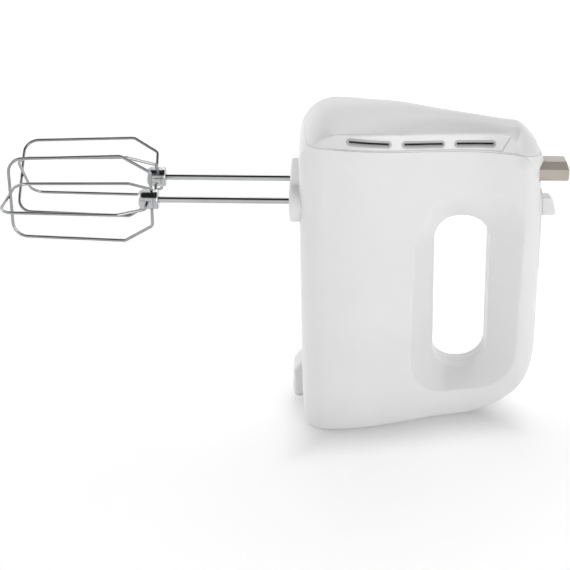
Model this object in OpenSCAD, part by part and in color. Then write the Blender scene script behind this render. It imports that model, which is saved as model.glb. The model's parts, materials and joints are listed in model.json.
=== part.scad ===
// Hand mixer standing on its heel. Millimetres.
// X runs from the beaters to the handle, Y is across the body, Z is up from the heel.

/* [Body] */
// Underside plane with the beater sockets, measured from the body's mid line
underside = 67; // [66:0.5:69]
// Outer face of the handle at the heel, measured from the same line
handle_back = 80.6; // [79:0.2:83]
// How far the handle's outer face leans in over its height
handle_lean = 4.6; // [3:0.2:6]
// Height of the nose's crest above the heel
nose_height = 200.2; // [199:0.1:201]
// Half of the body's greatest width
body_half = 41; // [40:0.5:42]
// Half of the handle's width
handle_half = 17; // [16.5:0.5:18]
// Thickness of the moulded walls
wall = 2.5; // [2:0.1:2.8]

/* [Beaters] */
// Height of the beater axes above the heel
beater_z = 146; // [145:0.5:147]
// Distance between the two beater axes
beater_gap = 40; // [39.5:0.5:40.5]
// Diameter of a beater's rod
rod_d = 3.9; // [3.6:0.1:4]
// Diameter of a beater's wire
wire_d = 1.7; // [1.5:0.1:1.8]
// Radius of the cage at its widest
cage_r = 26.9; // [26:0.1:27]
// Radius of the cage near its tip
tip_r = 24.9; // [24:0.1:25]
// Distance of the cage's tip from the mid line
tip_reach = 245.3; // [243:0.1:247]
// Distance of the collar's near face from the mid line
collar_x = 154.1; // [153:0.1:156]

/* [Drive] */
// Distance of the motor's axis from the mid line
motor_x = 33; // [33:0.5:33.5]
// Radius of the worm at its pitch line
worm_pitch_r = 5; // [5:0.1:5]
// Number of threads on the worm
worm_starts = 2; // [2:1:2]
// Number of teeth on each worm gear
gear_teeth = 30; // [30:1:30]
// Radius of the motor's shaft
shaft_r = 2.5; // [2.3:0.1:2.5]
// Radius of the rotor
rotor_r = 13.2; // [13:0.1:13.2]

/* [Controls] */
// How far the eject button stands out of the handle
button_out = 16; // [12:0.5:18]
// Travel of the speed slider
slider_travel = 16; // [12:1:16]

/* [Hidden] */
$fn = 48;
eps = 0.01;
big = 300;

// Side view of the body: corners with their rounding, counter-clockwise from the heel's front corner
slant_low = [handle_back - handle_lean, 168.5];
slant_high = [60.5, 190.2];
nose_mid = [-12, nose_height];
BODY = [[-underside, 0], [handle_back, 0], slant_low, slant_high, nose_mid, [-underside, nose_height - 2.7]];
BODY_R = [4, 45, 3, 8, 80, 22];
// Side view of the grip opening, at the mid plane and where its scoop meets the outer faces
GRIP = [[15, 30], [49, 30], [46, 133.5], [12, 134]];
GRIP_R = [15, 16, 16, 15];
SCOOP = [[0, 17.5], [64, 19.5], [63.5, 146.5], [-0.5, 152.5]];
SCOOP_R = [24, 24, 23, 24];
scoop_turn = 13.5;
scoop_y = 30;
grip_half = 10;
corner_r = 16;
end_r = 13;
arc_steps = 8;

// Plane between the nose cover and the two half shells
split_z = 179.4;
split_turn = 7.04;
seam = 0.2;

near_y = -beater_gap / 2;
far_y = beater_gap / 2;
shell_colour = [0.93, 0.93, 0.92];
champagne = [0.70, 0.67, 0.64];
steel = [0.78, 0.79, 0.80];

// Outline helpers: an inset convex outline with rounded corners
function unit(v) = v / norm(v);
function left_of(v) = [-v.y, v.x];
function meet(p, u, q, v) = p + u * cross(q - p, v) / cross(u, v);
function before(C, i) = unit(C[i] - C[(i + len(C) - 1) % len(C)]);
function after(C, i) = unit(C[(i + 1) % len(C)] - C[i]);
function inset_corner(C, i, d) = let (u = before(C, i), v = after(C, i))
    meet(C[i] + d * left_of(u), u, C[i] + d * left_of(v), v);
function corner_arc(c, u, v, r, steps = arc_steps) = let (turn = acos(u * v), side = sign(cross(u, v)),
    start = c - u * r * tan(turn / 2), centre = start + side * r * left_of(u))
    [for (k = [0:steps]) let (a = turn * k / steps)
        centre + side * r * [u.y * cos(a) + side * u.x * sin(a), side * u.y * sin(a) - u.x * cos(a)]];
function outline(C, R, d = 0) = [for (i = [0:len(C) - 1])
    each corner_arc(inset_corner(C, i, d), before(C, i), after(C, i), max(R[i] - d, 0.6))];

// Half width of the body at a place along X: wide at the motor, narrow at the handle
ramp_from = -50;
ramp_to = 50;
function ramp(x) = let (t = min(max((ramp_to - x) / (ramp_to - ramp_from), 0), 1)) (1 - cos(180 * t)) / 2;
function half_width(x) = handle_half + (body_half - handle_half) * ramp(x);
function arc(c, r, from, to) = [for (k = [0:arc_steps]) let (a = from + (to - from) * k / arc_steps)
    c + r * [cos(a), sin(a)]];
function near_side(d) = concat(
    arc([corner_r - underside, corner_r - body_half], corner_r - d, 180, 270),
    [for (x = [ramp_from + 8:8:handle_back - 2 * end_r + 6]) [x, d - half_width(x)]],
    arc([handle_back - end_r, end_r - handle_half], end_r - d, 270, 360));
function mirrored(P) = [for (i = [len(P) - 1:-1:0]) [P[i].x, -P[i].y]];

// Outer face of the handle: its X at a height, and a frame that lies on it
lean_angle = atan(handle_lean / slant_low.y);
function face_x(z) = handle_back - handle_lean * z / slant_low.y;
module on_face(z) {
    translate([face_x(z), 0, z]) rotate([0, -lean_angle, 0]) children();
}

module slab(points, y0, y1) {
    rotate([90, 0, 0]) translate([0, 0, -y1]) linear_extrude(y1 - y0) polygon(points);
}

module box(low, high) {
    translate(low) cube(high - low);
}

// Cylinders along each axis, from one end to the other
module rod_x(r, x0, x1, y = 0, z = 0) {
    translate([x0, y, z]) rotate([0, 90, 0]) cylinder(r = r, h = x1 - x0);
}

module rod_y(r, y0, y1, x = 0, z = 0) {
    translate([x, y1, z]) rotate([90, 0, 0]) cylinder(r = r, h = y1 - y0);
}

module rod_z(r, z0, z1, x = 0, y = 0) {
    translate([x, y, z0]) cylinder(r = r, h = z1 - z0);
}

// Solid of the whole body, inset by d
dome_r = 75;
dome_z = 196.5;
dome_turn = 10;
module body_solid(d = 0) {
    intersection() {
        slab(outline(BODY, BODY_R, d), -body_half - 1, body_half + 1);
        translate([0, 0, -1]) linear_extrude(nose_height + 2)
            polygon(concat(near_side(d), mirrored(near_side(d))));
        union() {
            translate([0, 0, dome_z]) rotate([0, 90 + dome_turn, 0])
                translate([dome_r, 0, -150]) cylinder(r = dome_r - d, h = big, $fn = 96);
            box([-100, -50, -10], [100, 50, 120]);
        }
    }
}

// Grip opening through the body, grown by d
module scoop_side(side, d) {
    hull() {
        slab(outline(GRIP, GRIP_R, -d), side < 0 ? -grip_half - 0.1 : grip_half,
            side < 0 ? -grip_half : grip_half + 0.1);
        translate([0, side * scoop_y, 0]) rotate([0, 0, -side * scoop_turn])
            slab(outline(SCOOP, SCOOP_R, -d), side < 0 ? -1.5 : 0, side < 0 ? 0 : 1.5);
    }
}

module grip_opening(d = 0) {
    slab(outline(GRIP, GRIP_R, -d), -grip_half, grip_half);
    scoop_side(-1, d);
    scoop_side(1, d);
}

module above_split(gap = 0) {
    translate([0, 0, split_z + gap]) rotate([0, split_turn, 0]) box([-150, -60, 0], [150, 60, 60]);
}

// Centre strip on the handle's outer face
strip_half = 8.5;
strip_low = 98;
strip_in = 1.2;
strip_out = 0.8;
module strip_zone(grow, inner) {
    difference() {
        intersection() {
            slab(outline(BODY, BODY_R, -strip_out - grow), -strip_half - grow, strip_half + grow);
            box([50, -strip_half - grow, strip_low - grow], [90, strip_half + grow, 190]);
        }
        slab(outline(BODY, BODY_R, inner), -20, 20);
        above_split(grow);
    }
}

// Openings in the handle for the two controls
button_z = [155.8, 167.2];
button_half = 9;
button_play = 0.35;
slider_z = 138;
track_z = [slider_z - slider_travel - 16, slider_z + 10];
track_half = 6;
slot_half = 2.4;
module button_hole() {
    box([60, -button_half - button_play, button_z[0] - button_play],
        [90, button_half + button_play, button_z[1] + button_play]);
}

// An oblong across the slider's track: half width, and its ends along the face
module track_oblong(half, low, high, x0, x1) {
    on_face(slider_z) {
        rod_x(half, x0, x1, 0, low + half);
        rod_x(half, x0, x1, 0, high - half);
        box([x0, -half, low + half], [x1, half, high - half]);
    }
}
track_low = track_z[0] - slider_z;
track_high = track_z[1] - slider_z;

// Socket plate on the underside
plate_half_z = 13;
plate_half_y = 32;
plate_out = 8.8;
module socket_oblong(half_z, half_y, x0, x1) {
    flat = half_y - half_z;
    rod_x(half_z, x0, x1, -flat, beater_z);
    rod_x(half_z, x0, x1, flat, beater_z);
    box([x0, -flat, beater_z - half_z], [x1, flat, beater_z + half_z]);
}

// Screw places in the side view; the screws run across the body
SCREWS = [[-60.5, 11.5], [-60.5, 176], [61, 20], [8, 169]];
post_r = 4.5;
screw_r = 1.4;
screw_head_r = 2.8;
head_y = 11;

// Cord outlet on the underside near the heel
gland_x = -69.3;
gland_r = 4.4;
cord_r = 3.3;
hood_half = 10;

VENT_X = [-43, -12, 18.5];
vent_len = [25, 24.7, 24];
vent_half = 1.5;
function vent_z(x) = split_z - tan(split_turn) * x + 5.2;
module vent_slot(x, len, r, side) {
    hull() {
        rod_y(r, side < 0 ? -60 : 8, side < 0 ? -8 : 60, x + vent_half, vent_z(x + vent_half));
        rod_y(r, side < 0 ? -60 : 8, side < 0 ? -8 : 60, x + len - vent_half, vent_z(x + len - vent_half));
    }
}

// One half of the body's skin below the nose cover, on the +Y side, with its posts and cuts
module half_shell() {
    difference() {
        difference() {
            body_solid();
            difference() {
                body_solid(wall);
                grip_opening(wall);
                for (p = SCREWS) rod_y(post_r, -60, 60, p.x, p.y);
            }
            grip_opening();
            box([-big, -big, -big], [big, 0, big]);
            above_split();
        }
        strip_zone(0.1, strip_in + 0.1);
        button_hole();
        on_face(slider_z) box([-8, -slot_half, track_low + 3], [5, slot_half, track_high - 3]);
        socket_oblong(plate_half_z - 2 + 0.1, plate_half_y - 2 + 0.1, -underside - 5, -underside + 6);
        rod_z(gland_r + 0.1, -1, 14.1, gland_x);
        box([gland_x - 3, -cord_r, 16], [-60, cord_r, 24]);
        for (p = SCREWS) rod_y(screw_r + 0.1, -1, 13, p.x, p.y);
    }
}

// The near half holds the screws' points in blind holes
module housing_near() {
    color(shell_colour) mirror([0, 1, 0]) half_shell();
}

// The far half takes their heads in counterbores
module housing_far() {
    color(shell_colour) difference() {
        half_shell();
        for (p = SCREWS) rod_y(screw_head_r + 0.2, head_y, 60, p.x, p.y);
    }
}

module nose_cover() {
    color(shell_colour) difference() {
        intersection() {
            body_solid();
            above_split(seam);
        }
        body_solid(wall);
        for (i = [0:2], side = [-1, 1]) vent_slot(VENT_X[i], vent_len[i], vent_half + 0.6, side);
    }
}

// Rimmed slots that line the cover's air inlets
module vent_inserts(side) {
    color([0.25, 0.25, 0.26]) difference() {
        intersection() {
            body_solid(0.3);
            for (i = [0:2]) vent_slot(VENT_X[i], vent_len[i], vent_half + 0.5, side);
        }
        body_solid(wall);
        for (i = [0:2]) vent_slot(VENT_X[i], vent_len[i], vent_half - 0.4, side);
    }
}

module vent_inserts_near() {
    vent_inserts(-1);
}

module vent_inserts_far() {
    vent_inserts(1);
}

plate_face = -underside - plate_out;
module socket_plate() {
    color(shell_colour) difference() {
        union() {
            socket_oblong(plate_half_z - 2, plate_half_y - 2, plate_face + 2, -underside + wall + 0.2);
            socket_oblong(plate_half_z, plate_half_y, plate_face, -underside - 0.1);
            intersection() {
                socket_oblong(plate_half_z + 1, plate_half_y + 1, -underside + wall + 0.2, -underside + wall + 2);
                box([-underside, -26.5, 0], [0, 26.5, nose_height]);
            }
        }
        for (y = [near_y, far_y]) {
            rod_x(3.2, plate_face - 1, -60, y, beater_z);
            rod_x(4.9, -66, -60, y, beater_z);
        }
    }
}

module handle_strip() {
    color(shell_colour) difference() {
        strip_zone(0, strip_in);
        button_hole();
        track_oblong(track_half + 0.1, track_low - 0.1, track_high + 0.1, -8, 5);
    }
}

module slider_track() {
    color(shell_colour) difference() {
        track_oblong(track_half, track_low, track_high, -strip_in + 0.1, strip_out + 0.3);
        track_oblong(slot_half, track_low + 3, track_high - 3, -8, 5);
    }
}

module cord_outlet() {
    color(shell_colour) difference() {
        intersection() {
            slab([[-underside - 0.1, 9], [-underside - 5, 9], [-underside - 6.3, 11],
                [-underside - 6.3, 28], [-underside - 0.1, 38]], -hood_half, hood_half);
            rod_x(30, -80, -60, 0, 36);
        }
        rod_z(gland_r + 0.1, 0, 14.1, gland_x);
        box([gland_x - cord_r, -cord_r, 14], [-60, cord_r, 24]);
    }
}

module cord_gland() {
    color([0.2, 0.2, 0.2]) difference() {
        union() {
            rod_z(gland_r, 8, 14, gland_x);
            rod_z(gland_r - 0.7, 4, 8, gland_x);
        }
        rod_z(cord_r - 0.3, 0, 20, gland_x);
    }
}

module housing_screws() {
    color(steel) for (p = SCREWS) {
        rod_y(screw_r, -12, head_y, p.x, p.y);
        difference() {
            rod_y(screw_head_r, head_y, head_y + 2.2, p.x, p.y);
            rod_y(1, head_y + 1, head_y + 3, p.x, p.y, $fn = 6);
        }
    }
}

// Gearbox frame: two plates that carry the spindles, joined above and below the gears
mx = -motor_x;
frame_front = -60;
frame_rear = -21;
frame_plate = 3;
frame_half = 33;
frame_low = beater_z - 20;
frame_high = beater_z + 20;
spindle_r = 4.5;
bush_r = 5;
module gearbox_frame() {
    color([0.85, 0.83, 0.76]) difference() {
        union() {
            box([frame_front, -frame_half, frame_low], [frame_front + frame_plate, frame_half, frame_high]);
            box([frame_rear - frame_plate, -frame_half, frame_low], [frame_rear, frame_half, frame_high]);
            box([frame_front, -frame_half, frame_low], [frame_rear, frame_half, frame_low + 3]);
            box([frame_front, -frame_half, frame_high - 3], [frame_rear, frame_half, frame_high]);
            rod_z(bush_r + 2.5, frame_high - 3, frame_high + 4, mx);
        }
        for (y = [near_y, far_y]) rod_x(spindle_r + 0.08, frame_front - 1, frame_rear + 1, y, beater_z);
        rod_z(bush_r + 0.02, frame_high - 4, frame_high + 5, mx);
        rod_z(8, frame_low - 1, frame_low + 4, mx);
        for (x = [-56, -25], y = [-28, 28]) rod_z(1.6, frame_high - 4, frame_high + 1, x, y);
    }
}

module frame_screws() {
    color(steel) for (x = [-56, -25], y = [-28, 28]) {
        rod_z(1.5, frame_high - 3.2, frame_high, x, y);
        rod_z(2.8, frame_high, frame_high + 1.8, x, y);
    }
}

// A plain bush around the motor's shaft
module bush(z0, z1) {
    color([0.72, 0.55, 0.3]) difference() {
        rod_z(bush_r, z0, z1, mx);
        rod_z(shaft_r + 0.05, z0 - 1, z1 + 1, mx);
    }
}

module top_bearing() {
    bush(frame_high - 3, frame_high + 4);
}

stator_low = 70;
stator_high = 90;
stator_x = 21;
stator_y = 23;
arm_y = 20.5;

// A bridge over one end of the stator, with the bearing at its middle
module bracket(z_plate, z_end) {
    low = min(z_plate, z_end);
    high = max(z_plate + 4, z_end);
    color([0.66, 0.67, 0.68]) difference() {
        union() {
            box([mx - 9, -stator_y, z_plate], [mx + 9, stator_y, z_plate + 4]);
            for (s = [-1, 1]) box([mx - 9, s < 0 ? -stator_y : arm_y, low], [mx + 9, s < 0 ? -arm_y : stator_y, high]);
            rod_z(bush_r + 2.5, z_plate - 2, z_plate + 6, mx);
        }
        rod_z(bush_r + 0.02, z_plate - 3, z_plate + 7, mx);
    }
}

module front_bracket() {
    bracket(111, stator_high);
}

module front_bearing() {
    bush(109, 117);
}

module rear_bracket() {
    bracket(42, stator_low);
    color([0.66, 0.67, 0.68]) for (s = [-1, 1])
        box([mx + (s < 0 ? -20 : 9), -4, 42], [mx + (s < 0 ? -9 : 20), 4, 51.8]);
}

module rear_bearing() {
    bush(40, 48);
}

coil_r = 17;
COIL_ANGLES = [22, 158, 202, 338];
module stator_core() {
    color([0.45, 0.46, 0.48]) difference() {
        intersection() {
            box([mx - stator_x, -stator_y, stator_low], [mx + stator_x, stator_y, stator_high]);
            rod_z(27, stator_low, stator_high, mx);
        }
        rod_z(rotor_r + 0.5, 0, 200, mx);
        for (a = COIL_ANGLES) translate([mx, 0, 0]) rotate([0, 0, a]) rod_z(2.2, 0, 200, coil_r);
    }
}

// Two field coils: each an arc at both ends of the stator, joined through it by two legs
module field_coils() {
    color([0.72, 0.40, 0.20]) translate([mx, 0, 0]) for (side = [0, 180]) rotate([0, 0, side]) {
        for (z = [stator_low - 6.1, stator_high + 0.1]) translate([0, 0, z]) rotate([0, 0, 18])
            rotate_extrude(angle = 144) translate([14.6, 0]) square([4.8, 6]);
        for (a = [22, 158]) rotate([0, 0, a]) rod_z(2, stator_low - 1, stator_high + 1, coil_r);
    }
}

commutator_r = 8;
module brush_holders() {
    color([0.75, 0.6, 0.3]) for (s = [-1, 1]) translate([mx, 0, 0]) difference() {
        box([s < 0 ? -21 : 9.5, -4, 52], [s < 0 ? -9.5 : 21, 4, 60]);
        box([s < 0 ? -22 : 9, -2.6, 53.4], [s < 0 ? -9 : 22, 2.6, 58.6]);
    }
}

module brushes() {
    color([0.15, 0.15, 0.15]) for (s = [-1, 1]) translate([mx, 0, 0])
        box([s < 0 ? -19 : commutator_r + 0.1, -2.5, 53.5], [s < 0 ? -commutator_r - 0.1 : 19, 2.5, 58.5]);
}

module speed_board() {
    color([0.15, 0.4, 0.25]) difference() {
        box([-54, -24, 20], [-6, 24, 21.6]);
        for (x = [-51, -9], y = [-21, 21]) rod_z(1.6, 19, 23, x, y);
    }
}

module capacitor() {
    color([0.85, 0.75, 0.2]) box([-20, -22, 21.6], [-8, -8, 34]);
}

module heat_sink() {
    color([0.6, 0.6, 0.62]) {
        box([-22, 8, 21.6], [-8, 10, 36]);
        for (x = [-22:4:-9]) box([x, 9.9, 21.6], [x + 1.6, 20, 36]);
    }
}

module terminal_block() {
    color([0.9, 0.9, 0.88]) difference() {
        box([-52, -9, 21.6], [-42, 9, 31]);
        for (y = [-5, 5]) rod_x(1.6, -53, -45, y, 26);
        for (y = [-5, 5]) rod_z(1.6, 28, 32, -47, y);
    }
}

// Leads from the speed board to the brushes, in straight runs with round elbows
module lead(y) {
    color(y < 0 ? [0.1, 0.2, 0.6] : [0.5, 0.25, 0.1]) {
        rod_z(0.9, 21.6, 34, -57, y);
        rod_z(0.9, 34, 62, -57, y);
        translate([-57, y, 62]) sphere(r = 0.9);
        rod_x(0.9, -57, -54.2, y, 62);
    }
}

module motor_lead_live() {
    lead(-3);
}

module motor_lead_neutral() {
    lead(3);
}

module motor_shaft() {
    color(steel) rod_z(shaft_r, 34, 171, mx);
}

// Worm: a twisted two-lobe section; the gears' teeth fit its threads at the pitch line
tooth_module = 2 * (beater_gap / 2 - worm_pitch_r) / gear_teeth;
gear_pitch_r = beater_gap / 2 - worm_pitch_r;
lead_length = worm_starts * PI * tooth_module;
worm_len = 26;
worm_tip_r = worm_pitch_r + 0.75 * tooth_module;
worm_root_r = worm_pitch_r - 1.15 * tooth_module;
// Half angles of one thread at its root and tip, seen along the axis
thread_root = 62;
thread_tip = 22;
worm_slices = 40;
worm_turn = 180 * worm_len / lead_length;
module worm_section() {
    polygon([for (s = [0:worm_starts - 1]) let (turn = 90 - 360 * s / worm_starts) each concat(
        [for (k = [0:2]) let (a = turn + thread_tip * (1 - k)) worm_tip_r * [cos(a), sin(a)]],
        [for (k = [0:2]) let (a = turn - thread_root - (180 - 2 * thread_root) * k / 2)
            worm_root_r * [cos(a), sin(a)]])]);
}

module worm() {
    color([0.7, 0.7, 0.72]) difference() {
        translate([mx, 0, beater_z]) union() {
            linear_extrude(worm_len / 2, twist = -worm_turn, slices = worm_slices, $fn = 14) worm_section();
            mirror([0, 0, 1]) linear_extrude(worm_len / 2, twist = worm_turn, slices = worm_slices,
                $fn = 14) worm_section();
        }
        rod_z(shaft_r + 0.01, 100, 180, mx);
    }
}

fan_z = 119;
fan_r = 18;
module cooling_fan() {
    color([0.2, 0.2, 0.22]) translate([mx, 0, fan_z]) difference() {
        union() {
            cylinder(r = fan_r, h = 1.2);
            cylinder(r = 5, h = 5.4);
            for (a = [0:40:320]) rotate([0, 0, a]) box([6, -0.6, 1], [fan_r - 0.6, 0.6, 5.4]);
        }
        translate([0, 0, -1]) cylinder(r = shaft_r + 0.01, h = 10);
    }
}

SLOT_ANGLES = [0:30:330];
slot_r = 1.6;
module rotor_core() {
    color([0.5, 0.5, 0.52]) translate([mx, 0, 0]) difference() {
        rod_z(rotor_r, stator_low - 1, stator_high + 1);
        rod_z(shaft_r + 0.01, 0, 200);
        for (a = SLOT_ANGLES) rotate([0, 0, a]) {
            rod_z(slot_r, 0, 200, 10.6);
            box([10.6, -0.7, 0], [20, 0.7, 200]);
        }
    }
}

module rotor_winding() {
    color([0.75, 0.38, 0.15]) translate([mx, 0, 0]) {
        for (z = [stator_low - 7, stator_high + 1.1]) translate([0, 0, z])
            rotate_extrude() translate([4, 0]) square([8.2, 5.9]);
        for (a = SLOT_ANGLES) rotate([0, 0, a]) rod_z(slot_r - 0.15, stator_low - 2, stator_high + 2, 10.6);
    }
}

module commutator() {
    color([0.78, 0.48, 0.25]) translate([mx, 0, 0]) difference() {
        rod_z(commutator_r, 50, 62);
        rod_z(shaft_r + 0.01, 40, 70);
        for (a = SLOT_ANGLES) rotate([0, 0, a]) box([commutator_r - 1, -0.2, 49], [20, 0.2, 63]);
    }
}

// Worm gear: helical teeth twisted to the worm's lead
gear_w = 8;
gear_tip_r = gear_pitch_r + 0.75 * tooth_module;
gear_root_r = gear_pitch_r - 1.15 * tooth_module;
gear_twist = gear_w * lead_length / (2 * PI * worm_pitch_r) / gear_pitch_r * 180 / PI;
gear_pitch = 360 / gear_teeth;
tip_half = 1.05;
root_half = 3.3;
module gear_section() {
    polygon([for (i = [0:gear_teeth - 1]) let (a = gear_pitch * (i + 0.5))
        each [gear_root_r * [cos(a - root_half), sin(a - root_half)],
            gear_tip_r * [cos(a - tip_half), sin(a - tip_half)],
            gear_tip_r * [cos(a + tip_half), sin(a + tip_half)],
            gear_root_r * [cos(a + root_half), sin(a + root_half)]]]);
}

module worm_gear(y) {
    // The teeth are set so that a gap faces the worm at the gear's middle
    color([0.92, 0.9, 0.82]) translate([mx, y, beater_z]) difference() {
        rotate([90, 0, 0]) rotate([0, 90, 0]) translate([0, 0, -gear_w / 2]) rotate([0, 0, -gear_twist / 2])
            linear_extrude(gear_w, twist = -gear_twist, slices = 4) gear_section();
        rod_x(spindle_r + 0.02, -10, 10);
    }
}

module gear_near() {
    worm_gear(near_y);
}

module gear_far() {
    worm_gear(far_y);
}

// Hollow spindle that turns in the frame; the beater's rod and the pusher share its bore
bore_r = rod_d / 2 + 0.07;
spindle_front = -65.5;
spindle_rear = -17.5;
ear_half = 2.6;
module spindle(y) {
    color([0.8, 0.8, 0.78]) difference() {
        rod_x(spindle_r, spindle_front, spindle_rear, y, beater_z);
        rod_x(bore_r, -80, 0, y, beater_z);
        translate([0, y, beater_z]) box([-80, -0.6, -ear_half - 0.2], [-44, 0.6, ear_half + 0.2]);
    }
}

module spindle_near() {
    spindle(near_y);
}

module spindle_far() {
    spindle(far_y);
}

module clip(y) {
    color([0.3, 0.3, 0.32]) difference() {
        rod_x(6.4, frame_rear + 0.2, frame_rear + 1.2, y, beater_z);
        rod_x(spindle_r + 0.02, -30, -10, y, beater_z);
        translate([0, y, beater_z]) box([-30, -1.5, 0], [-10, 1.5, 10]);
    }
}

module clip_near() {
    clip(near_y);
}

module clip_far() {
    clip(far_y);
}

// Pusher: a pin behind the rod, inside the spindle, that the eject bridge presses
rod_end = -30.3;
head_x = -11;
bar_face = head_x + 3.2;
module pusher(y) {
    color(steel) {
        rod_x(rod_d / 2 - 0.03, rod_end + 0.2, head_x, y, beater_z);
        rod_x(4, head_x, head_x + 3, y, beater_z);
    }
}

module pusher_near() {
    pusher(near_y);
}

module pusher_far() {
    pusher(far_y);
}

// Eject button: an eight-sided cap outside, a flange inside that stops it in its opening
button_face = face_x(162) + button_out;
flange_x = 69.4;
module eject_button() {
    mid = (button_z[0] + button_z[1]) / 2;
    color(champagne) {
        difference() {
            translate([flange_x + 1.9, 0, 0]) rotate([90, 0, 90]) linear_extrude(button_face - flange_x - 1.9)
                polygon([[-7.6, button_z[0]], [7.6, button_z[0]], [button_half, button_z[0] + 1.6],
                    [button_half, button_z[1] - 4.1], [5.2, button_z[1]], [-5.2, button_z[1]],
                    [-button_half, button_z[1] - 4.1], [-button_half, button_z[0] + 1.6]]);
            translate([button_face, 0, button_z[0] + 7]) rotate([0, -20, 0]) box([0, -20, 0], [10, 20, 9]);
        }
        box([flange_x, -button_half - 1.2, button_z[0] - 1], [flange_x + 2, button_half + 1.2, button_z[1] + 1.2]);
    }
}

bar_z = [beater_z - 5, beater_z + 5];
arm_z = [158, 164];
module eject_bridge() {
    color([0.88, 0.88, 0.86]) difference() {
        union() {
            box([bar_face, -25, bar_z[0]], [bar_face + 4, 25, bar_z[1]]);
            box([bar_face, -4, bar_z[0]], [bar_face + 4, 4, arm_z[1]]);
            box([bar_face, -4, arm_z[0]], [flange_x - 0.05, 4, arm_z[1]]);
        }
        for (x = [12:12:48]) box([x, -2.4, arm_z[0] + 2], [x + 9, 2.4, arm_z[1] + 1]);
    }
}

// Return spring between the gearbox frame and the bridge, as a tube swept along a helix
spring_r = 3.6;
spring_wire = 0.45;
spring_turns = 5;
spring_len = bar_face - frame_rear - 2 * spring_wire - 0.2;
spring_steps = 18;
spring_sides = 8;
function coil_ring(t) = let (a = 360 * spring_turns * t)
    [for (k = [0:spring_sides - 1]) let (b = 360 * k / spring_sides, r = spring_r + spring_wire * cos(b))
        [spring_len * t + spring_wire * sin(b), r * cos(a), r * sin(a)]];
module eject_spring() {
    rings = spring_turns * spring_steps;
    n = spring_sides;
    color(steel) translate([frame_rear + spring_wire + 0.1, 0, beater_z]) polyhedron(
        points = [for (i = [0:rings]) each coil_ring(i / rings)],
        faces = concat([[for (k = [0:n - 1]) k]], [[for (k = [n - 1:-1:0]) rings * n + k]],
            [for (i = [0:rings - 1], k = [0:n - 1])
                [i * n + k, (i + 1) * n + k, (i + 1) * n + (k + 1) % n, i * n + (k + 1) % n]]));
}

// Speed slider: a hooked thumb piece outside, its carriage and contact inside
slider_half = 4.5;
module speed_slider() {
    color(shell_colour) on_face(slider_z) {
        slab([[1.4, 5], [1.4, -3.6], [5.5, -5], [8.2, -5], [9.4, -3.4], [7.6, 3], [6, 4.4]],
            -slider_half, slider_half);
        box([-5, -slot_half + 0.3, -3.4], [1.5, slot_half - 0.3, 3.4]);
    }
}

module slider_carriage() {
    color([0.3, 0.3, 0.3]) on_face(slider_z) box([-9, -5, -7], [-5.05, 5, 7]);
}

module switch_contact() {
    color([0.8, 0.5, 0.25]) on_face(slider_z) for (y = [-3, 1.5]) box([-11.2, y, -3], [-9.05, y + 1.5, 3]);
}

module switch_base() {
    color([0.25, 0.25, 0.27]) on_face(slider_z) difference() {
        box([-17, -6, -28], [-11.4, 6, 14]);
        for (y = [-3, 1.5]) box([-12.2, y, -24], [-11, y + 1.5, 10]);
    }
}

// A round tube swept along a path in a plane
function bent(P, R, steps) = [P[0], for (i = [1:len(P) - 2])
    each corner_arc(P[i], before(P, i), after(P, i), R[i], steps), P[len(P) - 1]];
function along(P, i) = i == 0 ? unit(P[1] - P[0])
    : i == len(P) - 1 ? unit(P[i] - P[i - 1])
    : unit(unit(P[i] - P[i - 1]) + unit(P[i + 1] - P[i]));
module tube(P, r, sides) {
    last = len(P) - 1;
    polyhedron(
        points = [for (i = [0:last], k = [0:sides - 1]) let (n = left_of(along(P, i)), b = 360 * k / sides)
            [P[i].x + r * cos(b) * n.x, P[i].y + r * cos(b) * n.y, r * sin(b)]],
        faces = concat([[for (k = [0:sides - 1]) k]], [[for (k = [sides - 1:-1:0]) last * sides + k]],
            [for (i = [0:last - 1], k = [0:sides - 1]) let (j = (k + 1) % sides)
                [i * sides + k, (i + 1) * sides + k, (i + 1) * sides + j, i * sides + j]]));
}

// A beater's loop in its own plane: out of the collar, along the cage, across the tip and back
collar_len = 11.6;
collar_r = 6.05;
neck_r = 17;
neck_x = -160.5;
wide_x = -175.8;
loop_step = 1.9;
LOOP_R = [0, 3, 4, 9, 9, 4, 3, 0];
module beater_loop(y, turn, inner) {
    x_tip = -tip_reach + inner * loop_step;
    x_neck = neck_x + inner * loop_step;
    half = [[x_neck, 3], [x_neck, neck_r], [wide_x, cage_r], [x_tip, tip_r - 0.4]];
    path = concat(half, [for (i = [3:-1:0]) [half[i].x, -half[i].y]]);
    color(steel) translate([0, y, beater_z]) rotate([turn, 0, 0]) tube(bent(path, LOOP_R, 5), wire_d / 2, 10);
}

module beater_collar(y, turn) {
    color(steel) translate([0, y, beater_z]) rotate([turn, 0, 0]) difference() {
        rod_x(collar_r, -collar_x - collar_len, -collar_x);
        rod_x(rod_d / 2 + 0.02, -200, -100);
        rod_y(wire_d / 2 + 0.03, -10, 10, neck_x);
        rod_z(wire_d / 2 + 0.03, -10, 10, neck_x + loop_step);
    }
}

module beater_rod(y) {
    color(steel) difference() {
        union() {
            rod_x(rod_d / 2, -collar_x - collar_len + 0.5, rod_end, y, beater_z);
            translate([0, y, beater_z]) box([-52, -0.45, -ear_half], [-47, 0.45, ear_half]);
        }
        translate([0, y, beater_z]) rotate([0, 90, 0]) translate([0, 0, -37]) rotate_extrude()
            translate([rod_d / 2 + 0.35, 0]) circle(r = 0.8, $fn = 24);
    }
}

module beater_rod_near() {
    beater_rod(near_y);
}

module beater_collar_near() {
    beater_collar(near_y, 0);
}

module beater_loop_a_near() {
    beater_loop(near_y, 0, 0);
}

module beater_loop_b_near() {
    beater_loop(near_y, 90, 1);
}

module beater_rod_far() {
    beater_rod(far_y);
}

module beater_collar_far() {
    beater_collar(far_y, 45);
}

module beater_loop_a_far() {
    beater_loop(far_y, 45, 0);
}

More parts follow.
